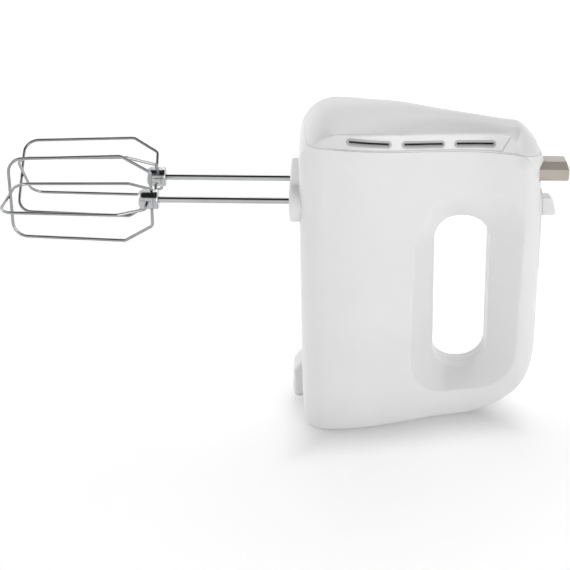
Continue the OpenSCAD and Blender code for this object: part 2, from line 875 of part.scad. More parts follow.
module beater_loop_b_far() {
    beater_loop(far_y, 135, 1);
}

housing_near();
housing_far();
nose_cover();
vent_inserts_near();
vent_inserts_far();
socket_plate();
handle_strip();
slider_track();
cord_outlet();
cord_gland();
housing_screws();
gearbox_frame();
frame_screws();
top_bearing();
front_bracket();
front_bearing();
stator_core();
field_coils();
rear_bracket();
rear_bearing();
brush_holders();
brushes();
speed_board();
capacitor();
heat_sink();
terminal_block();
switch_base();
motor_lead_live();
motor_lead_neutral();
motor_shaft();
worm();
cooling_fan();
rotor_core();
rotor_winding();
commutator();
gear_near();
spindle_near();
clip_near();
gear_far();
spindle_far();
clip_far();
pusher_near();
pusher_far();
eject_button();
eject_bridge();
eject_spring();
speed_slider();
slider_carriage();
switch_contact();
beater_rod_near();
beater_collar_near();
beater_loop_a_near();
beater_loop_b_near();
beater_rod_far();
beater_collar_far();
beater_loop_a_far();
beater_loop_b_far();
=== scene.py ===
"""Hand mixer: moulded shells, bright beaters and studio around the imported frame."""
import json
import math

import bmesh
import bpy
import numpy as np
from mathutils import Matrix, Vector


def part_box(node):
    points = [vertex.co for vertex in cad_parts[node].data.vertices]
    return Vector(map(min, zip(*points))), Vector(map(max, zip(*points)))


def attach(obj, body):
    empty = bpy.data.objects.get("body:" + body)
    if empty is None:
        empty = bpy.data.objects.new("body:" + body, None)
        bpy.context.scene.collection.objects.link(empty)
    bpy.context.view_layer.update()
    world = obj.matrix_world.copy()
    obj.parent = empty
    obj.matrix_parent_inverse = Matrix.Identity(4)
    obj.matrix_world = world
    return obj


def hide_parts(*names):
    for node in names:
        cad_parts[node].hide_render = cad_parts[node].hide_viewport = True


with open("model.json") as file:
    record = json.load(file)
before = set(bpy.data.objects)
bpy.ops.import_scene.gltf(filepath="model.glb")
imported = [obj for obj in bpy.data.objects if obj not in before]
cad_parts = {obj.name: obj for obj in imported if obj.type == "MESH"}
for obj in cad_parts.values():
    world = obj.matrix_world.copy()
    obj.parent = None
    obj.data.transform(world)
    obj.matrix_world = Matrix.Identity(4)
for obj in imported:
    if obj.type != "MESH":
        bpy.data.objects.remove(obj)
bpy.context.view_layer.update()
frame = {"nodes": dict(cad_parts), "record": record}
MM = 0.001


# ---------------------------------------------------------------- places taken from the frame, in millimetres

def box_mm(node):
    """Low and high corners of a CAD node's box."""
    low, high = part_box(node)
    return np.array(low) / MM, np.array(high) / MM


SHELL_LOW, SHELL_HIGH = box_mm("housing_near")
FAR_LOW, FAR_HIGH = box_mm("housing_far")
NOSE_LOW, NOSE_HIGH = box_mm("nose_cover")
PLATE_LOW, PLATE_HIGH = box_mm("socket_plate")
STRIP_LOW, STRIP_HIGH = box_mm("handle_strip")
HOOD_LOW, HOOD_HIGH = box_mm("cord_outlet")
BUTTON_LOW, BUTTON_HIGH = box_mm("eject_button")
SLIDER_LOW, SLIDER_HIGH = box_mm("speed_slider")
TRACK_LOW, TRACK_HIGH = box_mm("slider_track")
GLAND_LOW, GLAND_HIGH = box_mm("cord_gland")
COLLAR_LOW, COLLAR_HIGH = box_mm("beater_collar_near")

# UNDERSIDE is the face the beaters come out of; the mixer stands on its heel, at Z = 0
UNDERSIDE = SHELL_LOW[0]
BODY_HALF = -NOSE_LOW[1]
NEAR_Y, AXIS_Z = ((COLLAR_LOW + COLLAR_HIGH) / 2)[1:]

# The body's side view, its grip opening and its scoop: corners and their rounding
HANDLE_BACK = 80.6
HANDLE_HALF = 17.0
SLANT_LOW = (76.0, 168.5)
FACE_SLOPE = (HANDLE_BACK - SLANT_LOW[0]) / SLANT_LOW[1]
CREST_X, CREST_Z = -12.0, 200.2
FRONT_LEAN = 4.2
SIDE_VIEW = [(UNDERSIDE, 0.0), (HANDLE_BACK, 0.0), SLANT_LOW, (60.5, 190.4), (CREST_X, CREST_Z),
             (UNDERSIDE - FRONT_LEAN, 197.5)]
SIDE_ROUND = [4.0, 50.0, 5.0, 7.0, 80.0, 24.0]
GRIP = [(15.0, 30.0), (49.0, 30.0), (46.0, 133.5), (12.0, 134.0)]
GRIP_ROUND = [15.0, 16.0, 16.0, 15.0]
SCOOP = [(0.0, 17.5), (66.0, 19.5), (66.0, 150.0), (-0.5, 155.5)]
SCOOP_ROUND = [24.0, 25.0, 27.0, 34.0]
GRIP_FLAT = 9.0                             # the opening is straight this far from the mid plane
SCOOP_EASE = 0.12

# The plan widens from the handle to the beaters' end along half a cosine wave
TAPER_BACK, TAPER_LENGTH = 50.0, 100.0
TAPER_SLOPE = (BODY_HALF - HANDLE_HALF) / 2 * math.pi / TAPER_LENGTH
FRONT_ROUND, BACK_ROUND = 16.0, 13.0
HEEL_EDGE, SIDE_EDGE, HANDLE_EDGE = 2.8, 0.9, 6.5

# The cover's crowned top: the crest falls away to both ends, and the sides lie lower than it
CREST_RISE, CREST_FALL = 0.047, 0.135
EDGE_Z, EDGE_RISE = 186.5, 6.8
CROWN_LIMIT = 1.3
NOSE_TUCK = 0.28
LIP = 2.8                                   # how far the cover's lip stands out over the button
PANEL_STEP = 0.6

# The joint between the shells and the nose cover, and the screws: X and Z of each
WALL = 2.5
SPLIT_Z = 180.3
SPLIT_SLOPE = math.tan(math.radians(5.34))
SCREWS = [(-60.5, 11.5), (-60.5, 176.0), (61.0, 20.0), (8.0, 169.0)]
SCREW_BOSS_R, SCREW_PILOT_R, SCREW_HEAD_R = 4.5, 1.5, 3.0
SCREW_PILOT_DEPTH, SCREW_HEAD_FLOOR = 13.0, 11.0

# The seat of the cord gland and the leads' way from it into the body
GLAND_X, GLAND_SEAT_R, GLAND_SEAT_TOP = -69.3, 4.5, 14.1
GLAND_R, GLAND_NECK_R, CORD_R = 4.4, 3.7, 3.0
GLAND_BODY_Z, GLAND_NECK_Z = (8.0, 14.0), (4.0, 8.5)
LEAD_LOW, LEAD_HIGH = (-72.3, -3.3, 16.0), (-60.0, 3.3, 24.0)
HOOD_LEAD_LOW = (-72.3, -3.3, 13.0)

# Controls on the handle's face. LEAN is the angle of that face
BUTTON_Z = (155.8, 167.2)
BUTTON_HALF, BUTTON_PLAY = 9.0, 0.35
SLIDER_Z = 138.0
TRACK_Z = (106.0, 148.0)
TRACK_HALF, SLOT_HALF, SLOT_INSET = 6.0, 2.4, 3.0
LEAN = math.atan(FACE_SLOPE)
STRIP_HALF = STRIP_HIGH[1]
STRIP_FOOT = STRIP_LOW[2]
STRIP_FRONT, STRIP_OUT, STRIP_IN = 50.0, 0.5, 1.2
TRACK_OUT, TRACK_IN = 0.2, 2.0
SLOT_CHAMFER, SLOT_CHAMFER_FROM = 0.8, 0.4
THUMB_HALF = 4.5
THUMB_STEM_HALF, THUMB_STEM_REACH, THUMB_STEM_OUT, THUMB_STEM_IN = 2.1, 3.4, 2.0, 5.0

# Half height and half width of the beaters' socket plate's steps and of its hole in the shells
STEM_SIZE, FRONT_SIZE, BACK_SIZE, RIM_SIZE = (11.0, 30.0), (13.0, 32.0), (14.0, 33.0), (10.4, 29.4)
SOCKET_HOLE, SOCKET_HOLE_DEPTH = (11.1, 30.1), 6.0

# Rings round its two sockets, their bores, and the seats of the spindles behind them
RING_R, SOCKET_R, SOCKET_END = 6.6, 3.2, -60.0
SEAT_R, SEAT_START = 4.9, -66.0

# Cell sizes of the contoured pieces, and room round those that stand out of their CAD node's box
SHELL_STEP = 0.8
NOSE_STEP = 0.5
RIM_STEP = 0.35
PLATE_STEP = 0.7
STRIP_STEP = 0.65
TRACK_STEP = 0.5
HOOD_STEP = 0.6
GLAND_STEP = 0.4
BUTTON_STEP = 0.55
THUMB_STEP = 0.45
ROOM, RIM_ROOM, PLATE_ROOM = 3.0, 2.0, 0.5

# Rounding of the shells' rims, and half the gap between shells and cover
EDGE = 0.22
SEAM = 0.05


# ---------------------------------------------------------------- solids as signed fields, in millimetres

def smooth(x, a, b):
    """Rises from 0 at a to 1 at b, level at both ends."""
    t = np.clip((x - a) / (b - a), 0.0, 1.0)
    return t * t * (3.0 - 2.0 * t)


def both(a, b, r=0.0):
    """Where both solids are, with the edge between them rounded."""
    if np.isscalar(r) and r == 0.0:
        return np.maximum(a, b)
    u, v = np.maximum(a + r, 0.0), np.maximum(b + r, 0.0)
    return np.minimum(np.maximum(a, b), -r) + np.sqrt(u * u + v * v)


def either(a, b, r=0.0):
    """Where one solid or the other is."""
    return -both(-a, -b, r)


def without(a, b, r=0.0):
    """The first solid where the second is not."""
    return both(a, -b, r)


def outline(corners, rounding):
    """Field of a convex outline whose corners are rounded, as a function of two coordinates."""
    n = len(corners)
    P = np.array(corners)
    D = np.roll(P, -1, axis=0) - P
    D /= np.linalg.norm(D, axis=1)[:, None]
    N = np.stack([D[:, 1], -D[:, 0]], axis=1)
    R = [rounding[i] * (1.0 - float(D[i - 1] @ D[i])) for i in range(n)]

    def field(x, z):
        d = [(x - P[i][0]) * N[i][0] + (z - P[i][1]) * N[i][1] for i in range(n)]
        out = both(d[-1], d[0], R[0])
        for i in range(1, n):
            out = np.maximum(out, both(d[i - 1], d[i], R[i]))
        return out

    return field


def split_z(x):
    """Height of the joint between the shells and the nose cover."""
    return SPLIT_Z - SPLIT_SLOPE * x


side_view = outline(SIDE_VIEW, SIDE_ROUND)
grip_view = outline(GRIP, GRIP_ROUND)
scoop_view = outline(SCOOP, SCOOP_ROUND)
panel_view = outline([(-90.0, -20.0), (75.5, -20.0), (69.6, split_z(70.0) + 0.4),
                      (-90.0, split_z(-90.0) + 0.4)], [1.0, 1.0, 15.0, 1.0])


def along_taper(x):
    """From 0 where the handle's plan begins to widen to 1 where it is full."""
    return np.clip((TAPER_BACK - x) / TAPER_LENGTH, 0.0, 1.0)


def half_width(x):
    return HANDLE_HALF + (BODY_HALF - HANDLE_HALF) * (1.0 - np.cos(np.pi * along_taper(x))) / 2.0


def leaned(x, z):
    """X as it would be if the handle's outer face stood upright."""
    return x + FACE_SLOPE * z * smooth(x, 20.0, 70.0)


def plan(x, y, z):
    """The body's sides, its front and the handle's face, without top and heel."""
    xl = leaned(x, z)
    slope = TAPER_SLOPE * np.sin(np.pi * along_taper(x))
    tuck = NOSE_TUCK * np.maximum(z - split_z(x) - 0.6, 0.0)
    side = (np.abs(y) + tuck - half_width(xl)) / np.sqrt(1.0 + slope * slope)
    front = UNDERSIDE - FRONT_LEAN * z / SHELL_HIGH[2] - x
    return np.maximum(both(side, front, FRONT_ROUND), both(side, xl - HANDLE_BACK, BACK_ROUND))


def edge_radius(x, z):
    """Rounding between the plan and the side view, softer at the heel and along the handle's top."""
    low = HEEL_EDGE + (SIDE_EDGE - HEEL_EDGE) * smooth(z, 5.0, 24.0)
    return low + HANDLE_EDGE * smooth(x, 48.0, 60.0) * smooth(z, 120.0, 172.0)


def body(x, y, z):
    """The outside of the body, without its grip opening."""
    wide = half_width(x) - 2.0
    crest = np.minimum(CREST_Z + CREST_RISE * (x - CREST_X), CREST_Z - CREST_FALL * (x - CREST_X))
    edge = EDGE_Z + EDGE_RISE * (wide + 2.0 - HANDLE_HALF) / (BODY_HALF - HANDLE_HALF)
    crown = (crest - edge) * np.minimum((y / wide) ** 2, CROWN_LIMIT) * smooth(z, 120.0, 180.0)
    lip = LIP * smooth(z, 163.0, 170.0) * smooth(x, 56.0, 72.0)
    beyond_panel = smooth(panel_view(x, z), -0.15, 0.75)
    inset = PANEL_STEP * beyond_panel * smooth(x, 30.0, 62.0) * smooth(z, 95.0, 150.0)
    return both(plan(x, y, z), side_view(x, z + crown), edge_radius(x, z)) - lip + inset


def grip(x, y, z):
    """The opening for the fingers, which widens to both sides."""
    reach = np.maximum(half_width(x) - GRIP_FLAT, 6.0)
    u = np.clip((np.abs(y) - GRIP_FLAT) / reach, 0.0, 1.4)
    t = u * (1.0 - SCOOP_EASE + SCOOP_EASE * u)
    inner, outer = grip_view(x, z), scoop_view(x, z)
    slope = (outer - inner) * (1.0 - SCOOP_EASE + 2.0 * SCOOP_EASE * u) / reach
    return (inner * (1.0 - t) + outer * t) / np.sqrt(1.0 + slope * slope)


def block(x, y, z, low, high, r=0.0):
    """A box from corner to corner."""
    out = both(both(low[0] - x, x - high[0], 0.0), both(low[1] - y, y - high[1], 0.0), r)
    return both(out, both(low[2] - z, z - high[2], 0.0), r)


def disc(a, b, mid_a, mid_b, r):
    """A round bar of radius r along the third axis."""
    return np.hypot(a - mid_a, b - mid_b) - r


# ---------------------------------------------------------------- from a field to a mesh

PROBE = 0.02            # half the distance over which a field's slope is measured
ROOT_TURNS = 7          # steps that close in on the surface along a cell's edge
FLAT_BIAS = 0.04        # keeps a point near its cell's middle where the surface is flat
PULL_TURNS = 2


def gradient(f, P):
    """Unit normals of the field at the rows of P."""
    G = np.empty_like(P)
    for k in range(3):
        A, B = P.copy(), P.copy()
        A[:, k] += PROBE
        B[:, k] -= PROBE
        G[:, k] = f(*A.T) - f(*B.T)
    return G / np.maximum(np.linalg.norm(G, axis=1), 1e-9)[:, None]


def contour(f, low, high, step):
    """Closed quad mesh of the surface f = 0, with a point on each sharp edge it meets."""
    low, high = np.array(low, float) - 2.1 * step, np.array(high, float) + 2.1 * step
    axes = [low[k] + step * np.arange(int((high[k] - low[k]) / step) + 2) for k in range(3)]
    shape = tuple(len(a) for a in axes)
    V = np.empty(shape)
    for i, x in enumerate(axes[0]):
        Y, Z = np.meshgrid(axes[1], axes[2], indexing="ij")
        V[i] = f(np.full_like(Y, x), Y, Z)
    inside = V < 0
    rows, columns = shape[1] - 1, shape[2] - 1
    cells, points, normals, quads = [], [], [], []
    for k in range(3):
        a = [slice(None)] * 3
        b = [slice(None)] * 3
        a[k], b[k] = slice(0, -1), slice(1, None)
        I = np.array(np.nonzero(inside[tuple(a)] != inside[tuple(b)]))
        if not I.size:
            continue
        J = I.copy()
        J[k] += 1
        va, vb = V[tuple(I)], V[tuple(J)]
        P = np.stack([axes[m][I[m]] for m in range(3)], axis=1)
        lo, hi, flo, fhi = np.zeros(len(va)), np.ones(len(va)), va.copy(), vb.copy()
        for turn in range(ROOT_TURNS):
            t = lo + (hi - lo) * (flo / (flo - fhi) if turn % 2 == 0 else 0.5)
            Q = P.copy()
            Q[:, k] += t * step
            ft = f(*Q.T)
            same = (ft < 0) == (flo < 0)
            lo, flo = np.where(same, t, lo), np.where(same, ft, flo)
            hi, fhi = np.where(same, hi, t), np.where(same, fhi, ft)
        t = lo + (hi - lo) * flo / (flo - fhi + 1e-12 * np.sign(flo - fhi))
        Q = P.copy()
        Q[:, k] += np.clip(t, 0.0, 1.0) * step
        G = gradient(f, Q)
        m, n = (k + 1) % 3, (k + 2) % 3
        corners = []
        for dm, dn in ((0, 0), (1, 0), (1, 1), (0, 1)):
            C = I.copy()
            C[m] -= dm
            C[n] -= dn
            corners.append((C[0] * rows + C[1]) * columns + C[2])
            cells.append(corners[-1])
            points.append(Q)
            normals.append(G)
        ring = np.stack(corners, axis=1)
        quads.append(np.where((va < 0)[:, None], ring[:, ::-1], ring))
    cells, points, normals = np.concatenate(cells), np.concatenate(points), np.concatenate(normals)
    quads = np.concatenate(quads)
    ids, place = np.unique(cells, return_inverse=True)
    count = np.bincount(place).astype(float)
    mean = np.stack([np.bincount(place, points[:, i]) for i in range(3)], axis=1) / count[:, None]
    A = np.empty((len(ids), 3, 3))
    for i in range(3):
        for j in range(3):
            A[:, i, j] = np.bincount(place, normals[:, i] * normals[:, j])
    off = np.einsum("ij,ij->i", normals, points - mean[place])
    rhs = np.stack([np.bincount(place, normals[:, i] * off) for i in range(3)], axis=1)
    A += FLAT_BIAS * np.eye(3)
    move = np.linalg.solve(A, rhs[:, :, None])[:, :, 0]
    length = np.linalg.norm(move, axis=1)
    move *= np.minimum(1.0, 0.9 * step / np.maximum(length, 1e-9))[:, None]
    verts = mean + move
    # The points are then drawn onto the surface
    for _ in range(PULL_TURNS):
        G = gradient(f, verts)
        dist = f(*verts.T)
        verts -= G * np.clip(dist, -0.3 * step, 0.3 * step)[:, None] * 0.9
    return verts, np.searchsorted(ids, quads)


def linked(name, data):
    obj = bpy.data.objects.new(name, data)
    bpy.context.scene.collection.objects.link(obj)
    return obj


def declared(piece, node, body_name):
    """Hangs the piece on its body's empty and hides the CAD node it replaces."""
    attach(piece, body_name)
    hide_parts(node)


def shaded(name, f, verts, quads, material):
    """An object in metres whose normals are the field's own, so flat and round stretches read clean."""
    mesh = bpy.data.meshes.new(name)
    mesh.from_pydata((verts * MM).tolist(), [], quads.tolist())
    mesh.validate()
    mesh.polygons.foreach_set("use_smooth", np.ones(len(mesh.polygons), bool))
    mesh.update()
    count = len(mesh.polygons)
    face_n = np.empty(count * 3)
    centre = np.empty(count * 3)
    mesh.polygons.foreach_get("normal", face_n)
    mesh.polygons.foreach_get("center", centre)
    face_n, centre = face_n.reshape(-1, 3), centre.reshape(-1, 3) / MM
    loops = len(mesh.loops)
    vert_of = np.empty(loops, int)
    mesh.loops.foreach_get("vertex_index", vert_of)
    face_of = np.repeat(np.arange(count), [p.loop_total for p in mesh.polygons])
    by_vert = gradient(f, verts)
    by_face = gradient(f, centre)
    agree = np.einsum("ij,ij->i", by_face, face_n) > 0.7
    by_face = np.where(agree[:, None], by_face, face_n)
    N = by_vert[vert_of]
    F = by_face[face_of]
    keep = np.einsum("ij,ij->i", N, F) > 0.93
    N = np.where(keep[:, None], N, F)
    mesh.normals_split_custom_set(N.tolist())
    mesh.materials.append(material)
    return linked(name, mesh)


def moulded(name, node, f, low, high, step, material, body_name="housing"):
    """One moulded piece: the solid f < 0 between two corners, in place of a CAD node."""
    verts, quads = contour(f, low, high, step)
    declared(shaded(name, f, verts, quads, material), node, body_name)


# ---------------------------------------------------------------- materials

def make(name):
    """A material, its node tree and its shader."""
    mat = bpy.data.materials.new(name)
    mat.use_nodes = True
    return mat, mat.node_tree, mat.node_tree.nodes["Principled BSDF"]


def object_noise(tree, scale, detail, stretch=None):
    """Noise in the object's own coordinates, drawn out along one axis for ground or drawn metal."""
    place = tree.nodes.new("ShaderNodeTexCoord")
    source = place.outputs["Object"]
    if stretch is not None:
        mapping = tree.nodes.new("ShaderNodeMapping")
        mapping.inputs["Scale"].default_value = stretch
        tree.links.new(source, mapping.inputs["Vector"])
        source = mapping.outputs["Vector"]
    noise = tree.nodes.new("ShaderNodeTexNoise")
    noise.inputs["Scale"].default_value = scale
    noise.inputs["Detail"].default_value = detail
    tree.links.new(source, noise.inputs["Vector"])
    return noise.outputs["Fac"]


def varied(tree, socket, value, spread, scale):
    """A number that wanders a little round its value over the surface."""
    span = tree.nodes.new("ShaderNodeMapRange")
    span.inputs["From Min"].default_value = 0.3
    span.inputs["From Max"].default_value = 0.7
    span.inputs["To Min"].default_value = value - spread
    span.inputs["To Max"].default_value = value + spread
    tree.links.new(object_noise(tree, scale, 4.0), span.inputs["Value"])
    tree.links.new(span.outputs["Result"], socket)


def tinted(tree, socket, low, high, scale):
    """A colour that wanders between two close ones."""
    ramp = tree.nodes.new("ShaderNodeValToRGB")
    ramp.color_ramp.elements[0].position = 0.35
    ramp.color_ramp.elements[0].color = (*low, 1.0)
    ramp.color_ramp.elements[1].position = 0.65
    ramp.color_ramp.elements[1].color = (*high, 1.0)
    tree.links.new(object_noise(tree, scale, 3.0), ramp.inputs["Fac"])
    tree.links.new(ramp.outputs["Color"], socket)


GRAIN_DEPTH = 0.0001


def grained(tree, bsdf, scale, strength, stretch=None):
    """Fine relief."""
    bump = tree.nodes.new("ShaderNodeBump")
    bump.inputs["Strength"].default_value = strength
    bump.inputs["Distance"].default_value = GRAIN_DEPTH
    tree.links.new(object_noise(tree, scale, 5.0, stretch), bump.inputs["Height"])
    tree.links.new(bump.outputs["Normal"], bsdf.inputs["Normal"])


def plastic(name, low, high, roughness, spread=0.04, coat=0.0, relief=0.03, scatter=0.0):
    mat, tree, bsdf = make(name)
    tinted(tree, bsdf.inputs["Base Color"], low, high, 24.0)
    varied(tree, bsdf.inputs["Roughness"], roughness, spread, 60.0)
    grained(tree, bsdf, 900.0, relief)
    bsdf.inputs["Coat Weight"].default_value = coat
    bsdf.inputs["Coat Roughness"].default_value = 0.12
    bsdf.inputs["IOR"].default_value = 1.49
    if scatter > 0.0:
        bsdf.inputs["Subsurface Weight"].default_value = scatter
        bsdf.inputs["Subsurface Radius"].default_value = (0.004, 0.0035, 0.003)
        bsdf.inputs["Subsurface Scale"].default_value = 0.4
    return mat


def metal(name, low, high, roughness, spread=0.05, relief=0.05, scale=300.0, stretch=None):
    mat, tree, bsdf = make(name)
    bsdf.inputs["Metallic"].default_value = 1.0
    tinted(tree, bsdf.inputs["Base Color"], low, high, 40.0)
    varied(tree, bsdf.inputs["Roughness"], roughness, spread, 120.0)
    grained(tree, bsdf, scale, relief, stretch=stretch)
    return mat


SHELL = plastic("white_shell", (0.71, 0.71, 0.71), (0.73, 0.73, 0.73), 0.33, 0.03, 0.25, 0.02, 0.04)
RIM = plastic("vent_rim", (0.43, 0.43, 0.435), (0.47, 0.47, 0.475), 0.35)
RUBBER = plastic("gland_rubber", (0.6, 0.6, 0.6), (0.64, 0.64, 0.64), 0.6, 0.05, 0.0, 0.2)
DRAWN = (1.0, 12.0, 12.0)
CHROME = metal("chrome", (0.46, 0.465, 0.47), (0.52, 0.525, 0.53), 0.08, 0.03, 0.02, 500.0, DRAWN)
# Painted shade: a darker copy of the chrome for the beaters' wires, so the thin wires come out darker than
# the collars
SHADED_WIRE_CHROME = metal("chrome_wire_painted_shade", (0.31, 0.315, 0.32), (0.37, 0.375, 0.38), 0.12, 0.03, 0.0, 500.0, DRAWN)
CHAMPAGNE = metal("champagne", (0.42, 0.375, 0.33), (0.46, 0.415, 0.37), 0.5, 0.03, 0.02)
champagne_shader = CHAMPAGNE.node_tree.nodes["Principled BSDF"]
champagne_shader.inputs["Metallic"].default_value = 0.35
champagne_shader.inputs["Coat Weight"].default_value = 0.5

# One look for each material slot in the record, for the nodes that keep their CAD meshes
CAD_LOOKS = {
    "screw_steel": metal("screw_steel", (0.45, 0.46, 0.47), (0.55, 0.56, 0.57), 0.3, stretch=(1, 8, 1)),
    "frame_plastic": plastic("frame_plastic", (0.55, 0.52, 0.44), (0.62, 0.59, 0.5), 0.5),
    "bearing_bronze": metal("bearing_bronze", (0.45, 0.28, 0.12), (0.55, 0.36, 0.17), 0.4),
    "bracket_metal": metal("bracket_metal", (0.42, 0.43, 0.44), (0.5, 0.51, 0.52), 0.42),
    "lamination": metal("lamination", (0.2, 0.2, 0.21), (0.3, 0.3, 0.31), 0.5, 0.08, 0.4,
                        stretch=(1, 1, 14)),
    "copper_wire": metal("copper_wire", (0.5, 0.2, 0.08), (0.62, 0.29, 0.13), 0.35, 0.08, 0.5, 400.0,
                         stretch=(1, 1, 6)),
    "copper": metal("copper", (0.6, 0.27, 0.14), (0.7, 0.35, 0.2), 0.28),
    "brass": metal("brass", (0.6, 0.42, 0.16), (0.7, 0.52, 0.23), 0.3),
    "carbon": plastic("carbon", (0.02, 0.02, 0.02), (0.04, 0.04, 0.04), 0.8, 0.08, 0.0, 0.3),
    "board_green": plastic("board_green", (0.01, 0.1, 0.04), (0.02, 0.15, 0.06), 0.4),
    "capacitor_yellow": plastic("capacitor_yellow", (0.6, 0.38, 0.03), (0.7, 0.46, 0.05), 0.35),
    "terminal_white": plastic("terminal_white", (0.6, 0.6, 0.57), (0.68, 0.68, 0.65), 0.5),
    "dark_plastic": plastic("dark_plastic", (0.03, 0.03, 0.033), (0.05, 0.05, 0.055), 0.5),
    "lead_blue": plastic("lead_blue", (0.02, 0.09, 0.4), (0.03, 0.13, 0.5), 0.45),
    "lead_brown": plastic("lead_brown", (0.13, 0.05, 0.02), (0.18, 0.08, 0.03), 0.45),
    "shaft_steel": metal("shaft_steel", (0.5, 0.51, 0.52), (0.6, 0.61, 0.62), 0.2, stretch=(1, 1, 10)),
    "gear_nylon": plastic("gear_nylon", (0.62, 0.6, 0.52), (0.7, 0.68, 0.6), 0.45, 0.05, 0.0, 0.05, 0.1),
    "white_shell": SHELL,
    "vent_rim": RIM,
    "gland_rubber": RUBBER,
    "champagne": CHAMPAGNE,
    "chrome": CHROME,
}


# ---------------------------------------------------------------- moulded housing

def slab_below(x, z):
    """Everything under the joint with the cover."""
    return z - split_z(x) + SEAM


def slab_above(x, z):
    """Everything over that joint."""
    return split_z(x) + SEAM - z


def strip_region(x, y, z, grow):
    """Where the centre strip lies on the handle's face."""
    side = both(np.abs(y) - STRIP_HALF - grow, STRIP_FOOT - grow - z, 1.2)
    return both(side, STRIP_FRONT - x)


def hollow(x, y, z):
    """The space inside the walls, with a boss round each screw."""
    room = both(body(x, y, z) + WALL, WALL - grip(x, y, z), 1.0)
    for cx, cz in SCREWS:
        room = without(room, disc(x, z, cx, cz, SCREW_BOSS_R), 0.8)
    return room


def skin(x, y, z):
    """The whole housing's walls."""
    outer = both(body(x, y, z), -grip(x, y, z), 0.2)
    return both(outer, -hollow(x, y, z))


def on_face(x, z):
    """Distances out from the handle's face and up along it, from the slider's place."""
    dx = x - (HANDLE_BACK - FACE_SLOPE * SLIDER_Z)
    dz = z - SLIDER_Z
    return dx * math.cos(LEAN) + dz * math.sin(LEAN), dz * math.cos(LEAN) - dx * math.sin(LEAN)


def track_shape(y, up, half, grow=0.0):
    """A flat with round ends along the face, as long as the slider's track and 2 * half wide."""
    low, high = TRACK_Z[0] - grow, TRACK_Z[1] + grow
    mid, reach = (low + high) / 2 - SLIDER_Z, (high - low) / 2 - half
    return np.hypot(y, np.maximum(np.abs(up - mid) - reach, 0.0)) - half


def button_way(x, y, z):
    """The opening in which the eject button moves."""
    up_down = np.maximum(BUTTON_Z[0] - BUTTON_PLAY - z, z - BUTTON_Z[1] - BUTTON_PLAY)
    return both(np.maximum(np.abs(y) - BUTTON_HALF - BUTTON_PLAY, up_down), 60.0 - x)


def gland_seat(x, y, z):
    """The round seat that opens in the heel."""
    return both(disc(x, y, GLAND_X, 0.0, GLAND_SEAT_R), z - GLAND_SEAT_TOP)


def socket_shape(y, z, half_z, half_y):
    """The beater sockets' plate, a flat with round ends."""
    flat = half_y - half_z
    return np.hypot(np.maximum(np.abs(y) - flat, 0.0), z - AXIS_Z) - half_z


def half_shell(x, y, z, side):
    """The shell on one side of the mid plane: -1 is the near side, 1 the far side with the screw heads."""
    s = skin(x, y, z)
    out, up = on_face(x, z)
    s = without(s, both(strip_region(x, y, z, 0.15), -(body(x, y, z) + 1.3)))
    s = without(s, button_way(x, y, z))
    s = without(s, both(track_shape(y, up, SLOT_HALF, -SLOT_INSET), -8.0 - out))
    s = without(s, both(socket_shape(y, z, *SOCKET_HOLE), x - UNDERSIDE - SOCKET_HOLE_DEPTH))
    s = without(s, gland_seat(x, y, z))
    s = without(s, block(x, y, z, LEAD_LOW, LEAD_HIGH))
    for cx, cz in SCREWS:
        s = without(s, both(disc(x, z, cx, cz, SCREW_PILOT_R), np.abs(y) - SCREW_PILOT_DEPTH))
        if side > 0:
            s = without(s, both(disc(x, z, cx, cz, SCREW_HEAD_R), SCREW_HEAD_FLOOR - y))
    s = both(s, -side * y + 0.02, EDGE)
    return both(s, slab_below(x, z), EDGE)


moulded("housing_near_shell", "housing_near", lambda x, y, z: half_shell(x, y, z, -1.0),
        SHELL_LOW - ROOM, SHELL_HIGH + ROOM, SHELL_STEP, SHELL)
moulded("housing_far_shell", "housing_far", lambda x, y, z: half_shell(x, y, z, 1.0),
        FAR_LOW - ROOM, FAR_HIGH + ROOM, SHELL_STEP, SHELL)

# The air inlets, above the joint: where each starts, how long it is, and the recessed band they lie in
VENT_X = (-42.6, -10.5, 20.8)
VENT_LEN = (25.0, 24.7, 24.0)
VENT_HALF = 1.5
VENT_RISE, VENT_BOW, VENT_BOW_X = 3.85, 0.0005, 2.0
VENT_WAY = 8.0
VENT_FIT, RIM_OUT, RIM_IN = 0.6, 0.5, 0.95
BAND_DEPTH = 0.7
band_view = outline([(-62.0, 3.0), (-50.0, 0.5), (49.0, 1.2), (54.2, 10.0), (-15.0, 8.7), (-54.0, 8.2)],
                    [1.5, 10.0, 1.0, 1.0, 60.0, 3.0])


def vents(x, z, grow):
    """The side view of all the air inlets, grown by a margin."""
    rise = z - split_z(x) - VENT_RISE - VENT_BOW * (x - VENT_BOW_X) ** 2
    out = None
    for start, length in zip(VENT_X, VENT_LEN):
        mid, reach = start + length / 2, length / 2 - VENT_HALF
        d = np.hypot(np.maximum(np.abs(x - mid) - reach, 0.0), rise) - VENT_HALF - grow
        out = d if out is None else np.minimum(out, d)
    return out


def nose(x, y, z):
    """The cover over the joint, with a recessed band and the air inlets in it."""
    shell = body(x, y, z)
    band = both(band_view(x, z - split_z(x)), VENT_WAY - np.abs(y))
    depth = BAND_DEPTH * smooth(x, -58.0, -44.0)
    s = without(shell, both(band, -(shell + depth)), 0.35)
    s = both(s, -(shell + WALL))
    s = without(s, both(vents(x, z, VENT_FIT), VENT_WAY - np.abs(y)))
    return both(s, slab_above(x, z), EDGE)


moulded("nose_cover_shell", "nose_cover", nose, NOSE_LOW - ROOM, NOSE_HIGH + ROOM, NOSE_STEP,
        SHELL)


def vent_rims(x, y, z, side):
    """Rings round the air inlets, flared towards the outside."""
    shell = body(x, y, z)
    flare = np.clip(shell + 1.4, 0.0, 0.6)
    ring = np.maximum(vents(x, z, RIM_OUT), -(vents(x, z, -RIM_IN) - flare))
    ring = both(ring, both(shell + BAND_DEPTH - 0.1, -(shell + WALL)), 0.12)
    return np.maximum(ring, VENT_WAY - side * y)


